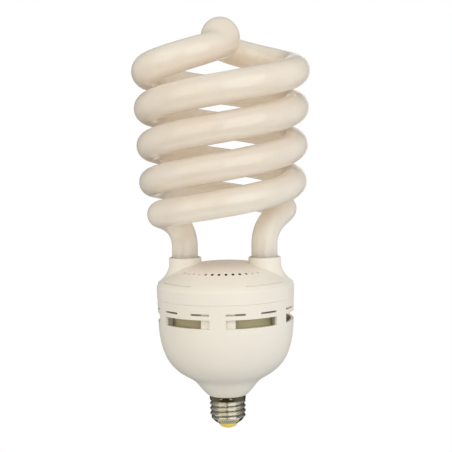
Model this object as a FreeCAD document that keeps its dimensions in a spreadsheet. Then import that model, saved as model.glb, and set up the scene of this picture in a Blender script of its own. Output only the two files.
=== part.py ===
import FreeCAD, Part
import math
import os
import re
import Sketcher

# A compact fluorescent lamp: a glass tube wound as a double spiral on a ballast housing with a screw cap.
# Millimetres, +Z up. The origin is the bottom of the centre contact, on the lamp's axis.
# The two legs of the tube stand on the X axis, and the front of the lamp faces -Y.

# Driving dimensions, one named value each.
SIZES = {
    # screw cap
    "contact_radius": 4.0,
    "contact_height": 0.5,
    "contact_stem_radius": 2.0,
    "insulator_foot_radius": 4.7,
    "insulator_belly_radius": 6.2,
    "insulator_belly_height": 1.7,
    "insulator_shoulder_radius": 7.2,
    "insulator_head_height": 2.0,
    "insulator_clearance": 0.3,
    "shell_bottom": 3.0,
    "shell_base_radius": 7.5,
    "shell_flange": 1.3,
    "shell_bend_radius": 11.7,
    "shell_bend_height": 6.1,
    "shell_taper_top": 8.4,
    "shell_radius": 13.15,
    "shell_collar_radius": 13.35,
    "shell_collar_bottom": 20.4,
    "shell_top": 24.2,
    "shell_wall": 0.4,
    # ballast housing: outer radius and height at each station of the ogee
    "neck_radius": 14.2,
    "throat_radius": 19.0,
    "throat_height": 29.2,
    "ogee_radius": 24.0,
    "ogee_height": 35.0,
    "flare_radius": 33.2,
    "flare_height": 41.0,
    "belly_inset": 7.5,
    "belly_height": 50.0,
    "flank_inset": 2.3,
    "flank_height": 63.0,
    "side_inset": 0.5,
    "side_drop": 19.5,
    "seam_radius": 49.7,
    "seam_height": 96.5,
    "seam_chamfer": 0.3,
    "housing_wall": 2.0,
    "neck_wall": 1.4,
    "cap_clearance": 0.1,
    "window_drop": 16.5,
    "window_height": 6.3,
    "window_angle": 46.5,
    "slot_drop": 7.3,
    "slot_height": 1.4,
    "slot_angle": 16.5,
    "slot_spread": 15.0,
    "rib_length": 18.0,
    "rib_depth": 6.4,
    "rib_thickness": 2.0,
    "rib_root": 0.5,
    # tube holder
    "seam_step": 0.2,
    "shoulder_rise": 8.4,
    "brow_run": 1.1,
    "brow_rise": 1.6,
    "slope_run": 6.8,
    "slope_rise": 5.6,
    "shelf_run": 7.0,
    "shelf_rise": 4.4,
    "crown_run": 15.0,
    "crown_rise": 4.4,
    "pole_rise": 1.4,
    "holder_wall": 2.0,
    "lip_depth": 2.0,
    "lip_clearance": 0.2,
    "tongue_angle": 30.0,
    "tongue_length": 19.0,
    "tongue_thickness": 2.0,
    "collar_wall": 1.3,
    "collar_rise": 4.4,
    "collar_edge": 0.8,
    "flare_drop": 6.0,
    "flare_inset": 0.5,
    "flare_brim_rise": 2.4,
    "flare_root": 0.3,
    "flare_bow": 1.5,
    "cement_gap": 0.5,
    "cement_sink": 1.0,
    "cement_depth": 11.8,
    "vent_radius": 1.0,
    "vent_ring_radius": 35.0,
    "vent_pitch_angle": 8.0,
    "arc_slot_inset": 3.9,
    "arc_slot_width": 1.1,
    "arc_slot_start": 25.0,
    "arc_slot_angle": 41.5,
    # spiral tube
    "tube_radius": 10.0,
    "coil_top_radius": 54.4,
    "coil_bottom_radius": 49.6,
    "coil_rise": 128.7,
    "coil_top_lead": 52.4,
    "coil_bottom_lead": 50.5,
    "coil_start_angle": 24.5,
    "coil_end_angle": 38.8,
    "apex_rise": 17.4,
    "knob_radius": 14.0,
    "knob_rise": 5.3,
    "leg_offset": 29.1,
    "leg_rise": 7.9,
    "leg_tip": 0.5,
    "bend_start_pull": 18.4,
    "bend_end_pull": 24.2,
    # circuit board and the pieces that hang from it
    "board_clearance": 3.2,
    "board_drop": 4.5,
    "board_thickness": 1.6,
    "sleeve_clearance": 0.4,
    "sleeve_wall": 0.6,
    "sleeve_height": 16.5,
    "lead_radius": 0.4,
    "bulk_radius": 9.0,
    "bulk_length": 33.0,
    "bulk_left_side_inset": 24.8,
    "bulk_left_front_inset": 22.8,
    "bulk_right_x": 6.0,
    "bulk_right_front_inset": 13.8,
    "choke_x": -17.0,
    "choke_inset": 28.3,
    "choke_width": 28.0,
    "choke_depth": 11.0,
    "choke_height": 24.0,
    "choke_limb": 5.0,
    "choke_post": 8.0,
    "bobbin_gap": 0.3,
    "bobbin_wall": 1.2,
    "bobbin_depth": 21.0,
    "winding_gap": 1.0,
    "filter_inset": 7.998,
    "filter_angle": -37.569,
    "filter_radius": 7.0,
    "filter_length": 16.0,
    "filter_flange": 2.0,
    "filter_post_radius": 3.5,
    "toroid_x": 16.0,
    "toroid_y": 1.0,
    "toroid_outer_radius": 7.0,
    "toroid_inner_radius": 3.6,
    "toroid_height": 5.0,
    "toroid_lift": 1.2,
    "toroid_wire": 1.0,
    "toroid_coil_angle": 60.0,
    "transistor_width": 10.0,
    "transistor_depth": 4.5,
    "transistor_height": 9.0,
    "transistor_tab_height": 6.5,
    "transistor_tab_thickness": 1.3,
    "transistor_hole_radius": 1.8,
    "transistor_drop": 4.0,
    "transistor_pitch": 2.54,
    "transistor_inset": 5.8,
    "transistor_first_angle": 8.0,
    "transistor_second_angle": 45.0,
    "resonant_x": 4.0,
    "resonant_inset": 10.8,
    "resonant_length": 18.0,
    "resonant_width": 7.0,
    "resonant_height": 14.0,
    "film_x": 10.0,
    "film_y": 17.5,
    "film_length": 13.0,
    "film_width": 5.5,
    "film_height": 11.0,
    "diode_inset": 9.8,
    "diode_first_y": -3.0,
    "diode_pitch": 4.0,
    "diode_radius": 1.35,
    "diode_length": 5.2,
    "diode_reach": 5.0,
    "diode_lift": 3.0,
    "fuse_inset": 4.7,
    "fuse_angle": -120.828,
    "fuse_radius": 2.0,
    "fuse_length": 10.0,
    "fuse_reach": 6.5,
    "thermistor_inset": 3.8,
    "thermistor_angle": -15.0,
    "thermistor_radius": 4.5,
    "thermistor_thickness": 3.5,
    "thermistor_drop": 3.0,
    # wiring
    "post_radius": 0.6,
    "post_length": 8.0,
    "electrode_spacing": 7.0,
    "electrode_wire_radius": 0.4,
    "cap_wire_radius": 0.7,
    "wire_clearance": 0.55,
    "shell_wire_bend": 2.0,
}

# Sizes that follow other pieces: each is the sum of the values it names.
FOLLOWING = {
    "shell_mouth_radius": "shell_base_radius - shell_flange",
    "insulator_head_radius": "shell_base_radius - shell_wall - insulator_clearance",
    "belly_radius": "seam_radius - belly_inset",
    "flank_radius": "seam_radius - flank_inset",
    "side_radius": "seam_radius - side_inset",
    "side_height": "seam_height - side_drop",
    "window_bottom": "seam_height - window_drop",
    "slot_bottom": "seam_height - slot_drop",
    "board_radius": "side_radius - housing_wall - board_clearance",
    "board_bottom": "seam_height - board_drop",
    "rib_foot": "board_bottom - rib_length",
    "sleeve_radius": "seam_radius - housing_wall + rib_root - rib_depth - sleeve_clearance",
    "sleeve_bore": "sleeve_radius - sleeve_wall",
    "bulk_left_x": "bulk_left_side_inset - sleeve_bore",
    "bulk_left_y": "bulk_left_front_inset - sleeve_bore",
    "bulk_right_y": "bulk_right_front_inset - sleeve_bore",
    "choke_y": "sleeve_bore - choke_inset",
    "filter_ring_radius": "sleeve_bore - filter_inset",
    "transistor_ring_radius": "sleeve_bore - transistor_inset",
    "resonant_y": "sleeve_bore - resonant_inset",
    "diode_x": "diode_inset - sleeve_bore",
    "fuse_ring_radius": "sleeve_bore - fuse_inset",
    "thermistor_ring_radius": "sleeve_bore - thermistor_inset",
    "tongue_foot": "seam_height - tongue_length",
    "holder_radius": "seam_radius + seam_step",
    "shoulder_height": "seam_height + shoulder_rise",
    "brow_radius": "holder_radius - brow_run",
    "brow_height": "shoulder_height + brow_rise",
    "slope_radius": "brow_radius - slope_run",
    "slope_height": "brow_height + slope_rise",
    "shelf_radius": "slope_radius - shelf_run",
    "shelf_height": "slope_height + shelf_rise",
    "crown_radius": "shelf_radius - crown_run",
    "crown_height": "shelf_height + crown_rise",
    "collar_radius": "tube_radius + cement_gap + collar_wall",
    "collar_top": "crown_height + collar_rise",
    "flare_top": "collar_top - flare_drop",
    "flare_foot_radius": "holder_radius - leg_offset - flare_inset",
    "flare_brim": "shoulder_height + flare_brim_rise",
    "flare_foot": "shoulder_height - flare_root",
    "arc_slot_radius": "holder_radius - arc_slot_inset",
    "cement_top": "collar_top - cement_sink",
    "cement_bottom": "cement_top - cement_depth",
    "leg_bottom": "cement_bottom - leg_tip",
    "leg_bend_height": "collar_top + leg_rise",
    "coil_top_height": "leg_bend_height + coil_rise",
    "apex_height": "coil_top_height + apex_rise",
    "knob_height": "apex_height + knob_rise",
    "shell_wire_radius": "shell_collar_radius - shell_wall - cap_clearance - neck_wall"
                         " - cap_wire_radius - wire_clearance",
}

doc = FreeCAD.newDocument("SpiralLamp")
sheet = doc.addObject("Spreadsheet::Sheet", "Dims")
for row, (name, value) in enumerate(SIZES.items(), start=1):
    sheet.set(f"A{row}", name)
    sheet.set(f"B{row}", str(value))
    sheet.setAlias(f"B{row}", name)
doc.recompute()

V = FreeCAD.Vector
UP = V(0, 0, 1)
FRONT_ANGLE = -90
BACK_ANGLE = 90
WINDOW_COUNT = 6
VENT_COUNT = 13
COIL_TURNS = 2
nodes = []


def size(name):
    """A size in millimetres or degrees, read from the sheet or added up from the values it follows."""
    if name not in FOLLOWING:
        return float(sheet.get(name))
    total, way = 0.0, 1
    for word in FOLLOWING[name].split():
        if word in "+-":
            way = 1 if word == "+" else -1
        else:
            total += way * size(word)
    return total


def tie(words):
    """An expression in the names of the sizes, as the document reads it."""
    def read(found):
        name = found[0]
        if name in FOLLOWING:
            return f"({tie(FOLLOWING[name])})"
        return f"Dims.{name}" if name in SIZES else name
    return re.sub("[a-z_]+", read, str(words))


def bind(obj, **places):
    """Ties properties of an object to the driving dimensions."""
    for name, words in places.items():
        obj.setExpression(name, tie(words))
    return obj


def put(obj, x=0, y=0, z=0, angle=0):
    """Ties an object's place to a spot and a turn about the vertical."""
    obj.setExpression("Placement.Base.x", tie(x))
    obj.setExpression("Placement.Base.y", tie(y))
    obj.setExpression("Placement.Base.z", tie(z))
    obj.setExpression("Placement.Rotation.Angle", tie(angle))
    return obj


def cylinder(name, radius, height, x=0, y=0, z=0, angle=0, sweep=360):
    """An upright cylinder, or a sector of one that starts at an angle."""
    obj = doc.addObject("Part::Cylinder", name)
    bind(obj, Radius=radius, Height=height, Angle=sweep)
    return put(obj, x, y, z, angle)


def box(name, length, width, height, x=0, y=0, z=0):
    """A block centred on x and y, standing on z."""
    obj = doc.addObject("Part::Box", name)
    bind(obj, Length=length, Width=width, Height=height)
    return put(obj, f"{x}-({length})/2", f"{y}-({width})/2", z)


def fuse(name, shapes):
    obj = doc.addObject("Part::MultiFuse", name)
    obj.Shapes = shapes
    return obj


def cut(name, base, tools):
    """The base with every tool taken out of it."""
    obj = doc.addObject("Part::Cut", name)
    obj.Base = base
    obj.Tool = tools[0] if len(tools) == 1 else fuse(name + "_tools", tools)
    return obj


def ring(name, outer, inner, height, z, x=0, y=0, angle=0, sweep=360):
    """An upright ring, or a sector of one."""
    rim = cylinder(name + "_rim", outer, height, x, y, z, angle, sweep)
    bore = cylinder(name + "_bore", inner, height, x, y, z)
    return cut(name, rim, [bore])


def carried(name, obj, radius, angle):
    """An object modelled on the lamp's axis, carried out along a radius at an angle."""
    group = doc.addObject("Part::Compound", name)
    group.Links = [obj]
    return put(group, f"({radius})*cos({angle})", f"({radius})*sin({angle})", 0, angle)


def node(obj, label):
    """Names a finished piece and lists it for writing out."""
    obj.Label = label
    nodes.append(obj)
    return obj


def feature(name, shape):
    obj = doc.addObject("Part::Feature", name)
    obj.Shape = shape
    return obj


def lathe(name, corners):
    """A body turned from a sketch of straight lines through (radius, height) corners."""
    body = doc.addObject("PartDesign::Body", name)
    sketch = body.newObject("Sketcher::SketchObject", name + "_outline")
    plane = [part for part in body.Origin.OriginFeatures if part.Role == "XZ_Plane"]
    sketch.AttachmentSupport = [(plane[0], "")]
    sketch.MapMode = "FlatFace"
    count = len(corners)
    rough = [V(2 + math.cos(2 * math.pi * i / count), 2 + math.sin(2 * math.pi * i / count), 0)
             for i in range(count)]
    for i in range(count):
        sketch.addGeometry(Part.LineSegment(rough[i], rough[(i + 1) % count]))
    origin, axis, floor, start, end = (-1, 1), -2, -1, 1, 2
    for i, (radius, height) in enumerate(corners):
        sketch.addConstraint(Sketcher.Constraint("Coincident", (i - 1) % count, end, i, start))
        for kind, words, on_line in (("DistanceX", radius, axis), ("DistanceY", height, floor)):
            if words == 0:
                sketch.addConstraint(Sketcher.Constraint("PointOnObject", i, start, on_line))
            else:
                rule = sketch.addConstraint(Sketcher.Constraint(kind, *origin, i, start, 1.0))
                sketch.setExpression(f"Constraints[{rule}]", tie(words))
    turning = body.newObject("PartDesign::Revolution", name + "_turning")
    turning.Profile = sketch
    turning.ReferenceAxis = (sketch, ["V_Axis"])
    turning.Angle = 360
    body.Tip = turning
    return body


def spun(name, edges):
    """A solid spun about the vertical from a closed outline in the XZ plane."""
    outline = feature(name + "_outline", Part.Face(Part.Wire(Part.__sortEdges__(edges))))
    obj = doc.addObject("Part::Revolution", name)
    obj.Source = outline
    obj.Axis = UP
    obj.Angle = 360
    return obj


def spot(radius, height):
    """A point of an outline in the XZ plane."""
    return V(radius, 0, height)


def run(*spots):
    """Straight edges through the points of an outline."""
    return [Part.LineSegment(a, b).toShape() for a, b in zip(spots, spots[1:])]


def curve(spots):
    """One smooth curve through the points of an outline."""
    line = Part.BSplineCurve()
    line.interpolate(spots)
    return line


def inside(line, spots, wall):
    """The points of an outline moved in by the wall, square to its curve."""
    moved = []
    for point in spots:
        along = line.tangent(line.parameter(point))[0]
        moved.append(point + V(-along.z, 0, along.x) * wall)
    return moved


# Spiral tube: the centre line is worked out as stations, each a point and a direction of travel,
# and consecutive stations are joined by two tangent arcs.
BRIDGE_SPANS = 4
COIL_SPANS = 16
BEND_SPANS = 4


def bridge_stations():
    """From the apex on the lamp's axis, round half a circle in plan, down to the start of the coil."""
    radius = size("coil_top_radius")
    start = math.pi + math.radians(size("coil_start_angle"))
    length = math.pi * radius / 2
    apex, top = size("apex_height"), size("coil_top_height")
    fall = -size("coil_top_lead") / (2 * math.pi * radius) * length
    centre = V(math.cos(start), math.sin(start), 0) * (radius / 2)
    for i in range(BRIDGE_SPANS):
        share = i / BRIDGE_SPANS
        angle = start + math.pi * (1 - share)
        ease = share * share * (3 - 2 * share)
        height = apex + (top - apex) * ease + fall * (share ** 3 - share ** 2)
        slope = (top - apex) * 6 * share * (1 - share) + fall * (3 * share ** 2 - 2 * share)
        point = centre + V(math.cos(angle), math.sin(angle), 0) * (radius / 2) + UP * height
        yield point, V(length * math.sin(angle), -length * math.cos(angle), slope).normalize()


def coil_stations():
    """The winding itself, which narrows and closes up a little on the way down."""
    start = math.pi + math.radians(size("coil_start_angle"))
    turn = 2 * math.pi * COIL_TURNS + math.radians(size("coil_start_angle") - size("coil_end_angle"))
    top_lead, bottom_lead = size("coil_top_lead"), size("coil_bottom_lead")
    top_radius, bottom_radius = size("coil_top_radius"), size("coil_bottom_radius")
    for i in range(COIL_SPANS + 1):
        share = i / COIL_SPANS
        angle = start - turn * share
        radius = top_radius + (bottom_radius - top_radius) * share
        drop = turn / (2 * math.pi) * (top_lead * share + (bottom_lead - top_lead) * share ** 2 / 2)
        fall = (top_lead + (bottom_lead - top_lead) * share) / (2 * math.pi)
        point = V(radius * math.cos(angle), radius * math.sin(angle), size("coil_top_height") - drop)
        yield point, V(radius * math.sin(angle), -radius * math.cos(angle), -fall).normalize()


def bend_stations(start, heading):
    """From the end of the coil, bent down into the top of the leg."""
    end = V(-size("leg_offset"), 0, size("leg_bend_height"))
    first_pull = start + heading * size("bend_start_pull")
    last_pull = end + UP * size("bend_end_pull")
    for i in range(1, BEND_SPANS + 1):
        share = i / BEND_SPANS
        rest = 1 - share
        point = (start * rest ** 3 + first_pull * (3 * share * rest ** 2)
                 + last_pull * (3 * share ** 2 * rest) + end * share ** 3)
        along = ((first_pull - start) * rest ** 2 + (last_pull - first_pull) * (2 * share * rest)
                 + (end - last_pull) * share ** 2)
        yield point, along.normalize()


def tube_stations():
    """The whole centre line, from the foot of one leg over the apex to the foot of the other."""
    arm = list(bridge_stations()) + list(coil_stations())
    arm += list(bend_stations(*arm[-1]))
    arm.append((V(-size("leg_offset"), 0, size("leg_bottom")), UP * -1))
    rising = [(point, along * -1) for point, along in reversed(arm)]
    falling = [(V(-point.x, -point.y, point.z), V(-along.x, -along.y, along.z)) for point, along in arm[1:]]
    return rising + falling


def arc_joint(start, leaving, end, arriving):
    """The point where two arcs meet that leave one station and arrive at the next."""
    chord, both = end - start, leaving + arriving
    square, half, rest = both.dot(both) - 4, chord.dot(both), chord.dot(chord)
    if abs(square) < 1e-9:
        reach = rest / (2 * half)
    else:
        reach = (half - math.sqrt(half * half - square * rest)) / square
    return (start + leaving * reach + end - arriving * reach) * 0.5


def tangent_arc(start, leaving, end):
    """The arc, or straight run, that leaves a point in a direction and ends at another point."""
    chord = end - start
    along = V(chord).normalize()
    side = leaving - along * leaving.dot(along)
    if side.Length < 1e-6:
        return Part.LineSegment(start, end).toShape()
    rise = chord.Length / 2 * math.tan(leaving.getAngle(chord) / 2)
    return Part.Arc(start, (start + end) * 0.5 + side.normalize() * rise, end).toShape()


def tube_path():
    """The centre line as one wire of tangent arcs and two straight legs."""
    stations = tube_stations()
    edges = []
    for (start, leaving), (end, arriving) in zip(stations, stations[1:]):
        joint = arc_joint(start, leaving, end, arriving)
        along = (end - joint).normalize()
        edges.append(tangent_arc(start, leaving, joint))
        edges.append(tangent_arc(joint, along * (2 * along.dot(arriving)) - arriving, end))
    bends = [edge.Curve.Radius for edge in edges if hasattr(edge.Curve, "Radius")]
    print(f"tube: {sum(edge.Length for edge in edges):.1f} mm long, tightest bend {min(bends):.1f} mm")
    return edges


def make_spiral_tube():
    """One glass tube swept along its centre line, with the cold-spot knob blown out at its apex."""
    path = feature("Tube_path", Part.Wire(tube_path()))
    section = doc.addObject("Part::Circle", "Tube_section")
    bind(section, Radius="tube_radius")
    put(section, x="-leg_offset", z="leg_bottom")
    sweep = doc.addObject("Part::Sweep", "Tube")
    sweep.Sections = [section]
    sweep.Spine = (path, [f"Edge{i + 1}" for i in range(len(path.Shape.Edges))])
    sweep.Solid = True
    sweep.Frenet = False
    knob = doc.addObject("Part::Sphere", "Knob")
    bind(knob, Radius="knob_radius")
    put(knob, z="knob_height")
    node(fuse("Spiral", [sweep, knob]), "spiral_tube")


def make_screw_cap():
    """The metal shell, the coloured insulator that closes it and the contact riveted through that."""
    inner_base = "shell_base_radius-shell_wall"
    inner = "shell_radius-shell_wall"
    inner_collar = "shell_collar_radius-shell_wall"
    flange_top = "shell_bottom+shell_wall"
    node(lathe("Shell", [
        ("shell_mouth_radius", "shell_bottom"), ("shell_base_radius", "shell_bottom"),
        ("shell_bend_radius", "shell_bend_height"),
        ("shell_radius", "shell_taper_top"), ("shell_radius", "shell_collar_bottom"),
        ("shell_collar_radius", "shell_collar_bottom+shell_wall"), ("shell_collar_radius", "shell_top"),
        (inner_collar, "shell_top"), (inner_collar, "shell_collar_bottom+shell_wall"),
        (inner, "shell_collar_bottom"), (inner, "shell_taper_top"),
        ("shell_bend_radius-shell_wall", "shell_bend_height+shell_wall/2"), (inner_base, flange_top),
        ("shell_mouth_radius", flange_top)]), "screw_shell")
    head_top = "shell_bottom+shell_wall+insulator_head_height"
    node(lathe("Insulator", [
        ("contact_stem_radius", "contact_height"), ("insulator_foot_radius", "contact_height"),
        ("insulator_belly_radius", "insulator_belly_height"),
        ("insulator_shoulder_radius", "shell_bottom"), ("shell_mouth_radius", "shell_bottom"),
        ("shell_mouth_radius", flange_top), ("insulator_head_radius", flange_top),
        ("insulator_head_radius", head_top), ("contact_stem_radius", head_top)]), "cap_insulator")
    node(lathe("Contact", [
        (0, 0), ("contact_radius", 0), ("contact_radius", "contact_height"),
        ("contact_stem_radius", "contact_height"), ("contact_stem_radius", head_top),
        (0, head_top)]), "centre_contact")


def make_housing():
    """The bowl: an ogee shell with a spigot in the cap, vent windows, vent slots and board ribs."""
    wall, top = size("housing_wall"), size("seam_height")
    names = ("throat", "ogee", "flare", "belly", "flank", "side", "seam")
    outer = [spot(size("neck_radius"), size("shell_top"))]
    outer += [spot(size(name + "_radius"), size(name + "_height")) for name in names]
    skin = curve(outer)
    spigot = size("shell_collar_radius") - size("shell_wall") - size("cap_clearance")
    spigot_bore = spigot - size("neck_wall")
    spigot_foot = size("shell_collar_bottom") + size("shell_wall")
    rim = spot(size("seam_radius") - wall, top)
    inner = [spot(spigot_bore, size("shell_top"))] + inside(skin, outer, wall)[1:-1] + [rim]
    edge = size("seam_chamfer")
    bevel_foot = spot(skin.value(skin.LastParameter).x, top - edge)
    skin.segment(skin.FirstParameter, skin.parameter(bevel_foot))
    bevel_foot = skin.value(skin.LastParameter)
    edges = [skin.toShape(), curve(inner).toShape()]
    edges += run(bevel_foot, spot(size("seam_radius") - edge, top), rim)
    edges += run(inner[0], spot(spigot_bore, spigot_foot), spot(spigot, spigot_foot),
                 spot(spigot, size("shell_top")), outer[0])
    bowl = spun("Bowl", edges)

    ribs = []
    for i, angle in enumerate((30, 150, 210, 330)):
        rib = box(f"Rib_{i}", "rib_depth", "rib_thickness", "board_bottom-rib_foot",
                  x="-rib_depth/2", z="rib_foot")
        ribs.append(carried(f"Rib_{i}_placed", rib, "seam_radius-housing_wall+rib_root", angle))
    ribbed = fuse("Bowl_ribbed", [bowl] + ribs)

    openings = []
    for i in range(WINDOW_COUNT):
        middle = f"{i}*360/{WINDOW_COUNT}"
        openings.append(cylinder(f"Window_{i}", "seam_radius+housing_wall", "window_height",
                                 z="window_bottom", sweep="window_angle",
                                 angle=f"{middle}-window_angle/2"))
        for side in (-1, 1):
            openings.append(cylinder(f"Slot_{i}_{side + 1}", "seam_radius+housing_wall", "slot_height",
                                     z="slot_bottom", sweep="slot_angle",
                                     angle=f"{middle}+{side}*slot_spread-slot_angle/2"))
    node(cut("Housing", ribbed, openings), "ballast_housing")


def make_holder():
    """The cover: a domed cap with two flared collars, vents, and tongues that snap into the bowl."""
    wall, foot, edge = size("holder_wall"), size("seam_height"), size("seam_chamfer")
    radius, shoulder = size("holder_radius"), size("shoulder_height")
    pole = size("crown_height") + size("pole_rise")
    lip = size("seam_radius") - size("housing_wall") - size("lip_clearance")
    tongue = size("side_radius") - size("housing_wall") - size("lip_clearance")
    lip_bore = tongue - size("tongue_thickness")
    lip_foot, lip_top = foot - size("lip_depth"), foot + size("lip_depth")
    outer = [spot(radius, shoulder)]
    for name in ("brow", "slope", "shelf", "crown"):
        outer.append(spot(size(name + "_radius"), size(name + "_height")))
    outer.append(spot(0, pole))
    skin = curve(outer)
    inner = [spot(radius - wall, shoulder - wall / 2)]
    inner += inside(skin, outer[2:-1], wall) + [spot(0, pole - wall)]
    edges = [skin.toShape(), curve(inner).toShape()]
    edges += run(outer[-1], inner[-1])
    edges += run(outer[0], spot(radius, foot + edge), spot(radius - edge, foot), spot(lip, foot),
                 spot(lip, lip_foot), spot(lip_bore, lip_foot), spot(lip_bore, lip_top),
                 spot(radius - wall, lip_top), inner[0])
    dome = spun("Dome", edges)

    bore = size("tube_radius") + size("cement_gap")
    collar, top, round_edge = size("collar_radius"), size("collar_top"), size("collar_edge")
    flare_top = spot(collar, size("flare_top"))
    flare_brim = spot(size("flare_foot_radius"), size("flare_brim"))
    hollow = V(0, 1, 0).cross(flare_brim - flare_top).normalize()
    waist = (flare_top + flare_brim) * 0.5 + hollow * size("flare_bow")
    corner = math.sqrt(0.5) * round_edge
    lip_round = spot(collar - round_edge + corner, top - round_edge + corner)
    edges = [Part.Arc(flare_top, waist, flare_brim).toShape(),
             Part.Arc(spot(collar, top - round_edge), lip_round, spot(collar - round_edge, top)).toShape()]
    edges += run(flare_top, spot(collar, top - round_edge))
    edges += run(spot(collar - round_edge, top), spot(bore, top), spot(bore, size("flare_foot")),
                 spot(size("flare_foot_radius"), size("flare_foot")), flare_brim)
    collars = []
    for side in (-1, 1):
        turned_collar = spun(f"Collar_{side + 1}", edges)
        collars.append(put(turned_collar, x=f"{side}*leg_offset"))

    tongues = []
    for name, angle in (("Front", FRONT_ANGLE), ("Back", BACK_ANGLE)):
        outer_tongue = "side_radius-housing_wall-lip_clearance"
        tongues.append(ring(f"{name}_tongue", outer_tongue, f"{outer_tongue}-tongue_thickness",
                            "seam_height-tongue_foot", "tongue_foot",
                            angle=f"{angle}-tongue_angle/2", sweep="tongue_angle"))
    cover = fuse("Cover", [dome] + collars + tongues)

    openings = []
    for side in (-1, 1):
        openings.append(cylinder(f"Leg_bore_{side + 1}", "tube_radius+cement_gap", "collar_top-seam_height",
                                 x=f"{side}*leg_offset", z="seam_height"))
    for name, angle in (("Front", FRONT_ANGLE), ("Back", BACK_ANGLE)):
        for i in range(VENT_COUNT):
            turn = f"({angle}+({i}-{VENT_COUNT - 1}/2)*vent_pitch_angle)"
            openings.append(cylinder(f"{name}_vent_{i}", "vent_radius", "crown_height-seam_height",
                                     f"vent_ring_radius*cos({turn})", f"vent_ring_radius*sin({turn})",
                                     "seam_height+lip_depth"))
        for side in (-1, 1):
            middle = f"{angle}+{side}*(arc_slot_start+arc_slot_angle/2)"
            openings.append(ring(f"{name}_arc_slot_{side + 1}", "arc_slot_radius+arc_slot_width/2",
                                 "arc_slot_radius-arc_slot_width/2", "crown_height-seam_height",
                                 "seam_height+lip_depth", angle=f"{middle}-arc_slot_angle/2",
                                 sweep="arc_slot_angle"))
    node(cut("Holder", cover, openings), "tube_holder")

    for side, label in ((-1, "left"), (1, "right")):
        cement = ring(f"Cement_{label}", "tube_radius+cement_gap", "tube_radius",
                      "cement_top-cement_bottom", "cement_bottom", x=f"{side}*leg_offset")
        node(cement, f"tube_cement_{label}")


def upright_lead(name, x, y, length):
    """A wire down from the underside of the board."""
    return cylinder(name, "lead_radius", length, x, y, f"board_bottom-({length})")


def make_board():
    """The board, and the insulating sleeve that hangs from it between the pieces and the windows."""
    board = cylinder("Board", "board_radius", "board_thickness", z="board_bottom")
    node(board, "circuit_board")
    node(ring("Sleeve", "sleeve_radius", "sleeve_bore", "sleeve_height", "board_bottom-sleeve_height"),
         "insulating_sleeve")


def make_capacitors():
    """Two electrolytic cans and two moulded film blocks, all flat against the board."""
    for side in ("left", "right"):
        can = cylinder(f"Bulk_{side}", "bulk_radius", "bulk_length", f"bulk_{side}_x", f"bulk_{side}_y",
                       "board_bottom-bulk_length")
        node(can, f"bulk_capacitor_{side}")
    for kind, label in (("resonant", "resonant_capacitor"), ("film", "filter_capacitor")):
        block = box(f"{kind}_block", f"{kind}_length", f"{kind}_width", f"{kind}_height",
                    f"{kind}_x", f"{kind}_y", f"board_bottom-{kind}_height")
        node(block, label)


def make_choke():
    """A ferrite core in the form of a squared figure eight, with a bobbin on its middle limb."""
    window_width = "(choke_width-2*choke_limb-choke_post)/2"
    window_height = "(choke_height-2*choke_limb)"
    window_foot = "board_bottom-choke_height+choke_limb"
    block = box("Choke_block", "choke_width", "choke_depth", "choke_height", "choke_x", "choke_y",
                "board_bottom-choke_height")
    windows = []
    for side in (-1, 1):
        windows.append(box(f"Choke_window_{side + 1}", window_width, "2*choke_depth", window_height,
                           f"choke_x+{side}*(choke_post+{window_width})/2", "choke_y", window_foot))
    node(cut("Choke_core", block, windows), "choke_core")

    sleeve_width = "(choke_post+2*bobbin_gap+2*bobbin_wall)"
    sleeve_depth = "(choke_depth+2*bobbin_gap+2*bobbin_wall)"
    flange_width = f"(choke_post+2*{window_width}-2*bobbin_gap)"
    body_height = f"({window_height}-2*bobbin_gap)"
    body_foot = f"{window_foot}+bobbin_gap"
    sleeve = box("Bobbin_sleeve", sleeve_width, sleeve_depth, body_height, "choke_x", "choke_y", body_foot)
    flanges = []
    for end, foot in (("lower", body_foot), ("upper", f"{body_foot}+{body_height}-bobbin_wall")):
        flanges.append(box(f"Bobbin_{end}_flange", flange_width, "bobbin_depth", "bobbin_wall",
                           "choke_x", "choke_y", foot))
    hole = box("Bobbin_hole", "choke_post+2*bobbin_gap", "choke_depth+2*bobbin_gap", "2*choke_height",
               "choke_x", "choke_y", "board_bottom-1.5*choke_height")
    node(cut("Bobbin", fuse("Bobbin_solid", [sleeve] + flanges), [hole]), "choke_bobbin")

    wound = box("Wound_block", f"{flange_width}-2*bobbin_gap", "bobbin_depth-winding_gap",
                f"{body_height}-2*bobbin_wall", "choke_x", "choke_y", f"{body_foot}+bobbin_wall")
    core = box("Wound_hole", sleeve_width, sleeve_depth, "2*choke_height", "choke_x", "choke_y",
               "board_bottom-1.5*choke_height")
    node(cut("Winding", wound, [core]), "choke_winding")


def make_filter_choke():
    """A drum core with wire between its flanges."""
    foot = "board_bottom-filter_length"
    x, y = "filter_ring_radius*cos(filter_angle)", "filter_ring_radius*sin(filter_angle)"
    flanges = [cylinder("Drum_lower", "filter_radius", "filter_flange", x, y, foot),
               cylinder("Drum_upper", "filter_radius", "filter_flange", x, y,
                        "board_bottom-filter_flange")]
    post = cylinder("Drum_post", "filter_post_radius", "filter_length", x, y, foot)
    node(fuse("Drum", flanges + [post]), "filter_choke_core")
    node(ring("Drum_wire", "filter_radius-winding_gap", "filter_post_radius", "filter_length-2*filter_flange",
              f"{foot}+filter_flange", x, y), "filter_choke_winding")


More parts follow.
